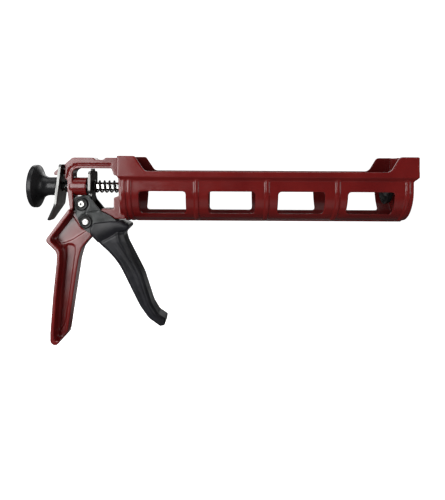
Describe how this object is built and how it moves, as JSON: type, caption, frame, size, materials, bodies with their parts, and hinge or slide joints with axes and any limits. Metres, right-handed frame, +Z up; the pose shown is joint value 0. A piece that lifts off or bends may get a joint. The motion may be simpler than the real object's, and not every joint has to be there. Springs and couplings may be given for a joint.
{
  "type": "caulking gun",
  "caption": "Cartridge caulking gun: an open half-round cradle with windows, a hexagonal push rod with a pull knob, and a pistol handle with a squeeze trigger.",
  "frame": {"origin": "on the push rod's axis at the inner face of the cradle's upper rear wall", "axes": "+X along the push rod towards the nozzle, +Z up, Y across with the middle plane at 0"},
  "size_m": [0.3152, 0.061, 0.1539],
  "materials": {
    "red_enamel": "gloss dark red enamel over an aluminium casting",
    "zinc_steel": "bright zinc plated",
    "rod_steel": "bright plated bar",
    "black_plastic": "satin black moulding",
    "grip_plastic": "satin black moulding with a fine grain",
    "black_steel": "black coated pressed sheet",
    "plate_steel": "plated sheet with sheared edges",
    "spring_steel": "oiled black wire",
    "dark_casting": "semi-gloss grey-black coat",
    "pin_steel": "bright ground ends"
  },
  "bodies": {
    "frame": {"cradle": "red_enamel", "handle_frame": "red_enamel", "cradle_screws": "zinc_steel", "pivot_pin": "pin_steel", "main_spring": "spring_steel", "release_spring": "spring_steel"},
    "rod": {"push_rod": "rod_steel", "knob": "black_plastic", "piston": "black_steel", "piston_rear_washer": "zinc_steel", "piston_front_washer": "zinc_steel", "piston_nut": "zinc_steel"},
    "drive_plate": {"drive_plate": "plate_steel"},
    "trigger": {"trigger_lever": "dark_casting", "trigger_grip": "grip_plastic", "roller_pin": "pin_steel"},
    "drive_roller": {"drive_roller": "pin_steel"},
    "release_plate": {"release_plate": "plate_steel"}
  },
  "joints": [
    {"name": "rod_slide", "type": "slide", "parent": "frame", "child": "rod", "axis": [-1, 0, 0], "range_m": [0, 0.209]},
    {"name": "trigger_pivot", "type": "hinge", "parent": "frame", "child": "trigger", "pos_m": [-0.0329, 0, -0.0288], "axis": [0, 1, 0], "range_deg": [0, 34], "stiffness_Nm_per_rad": 0.3, "springref_deg": -28.65},
    {"name": "drive_plate_slide", "type": "slide", "parent": "frame", "child": "drive_plate", "axis": [1, 0, 0], "range_m": [0, 0.0089], "deforming": ["main_spring"]},
    {"name": "drive_roller_spin", "type": "hinge", "parent": "trigger", "child": "drive_roller", "pos_m": [-0.0363, 0, -0.0141], "axis": [0, 1, 0], "continuous": true},
    {"name": "release_pivot", "type": "hinge", "parent": "frame", "child": "release_plate", "pos_m": [-0.0543, 0, 0.0119], "axis": [0, -1, 0], "range_deg": [0, 6], "stiffness_Nm_per_rad": 0.2, "springref_deg": -17.19, "deforming": ["release_spring"]}
  ],
  "couplings": [
    {"joint": "drive_plate_slide", "follows": "trigger_pivot", "m_per_rad": 0.01485}
  ]
}
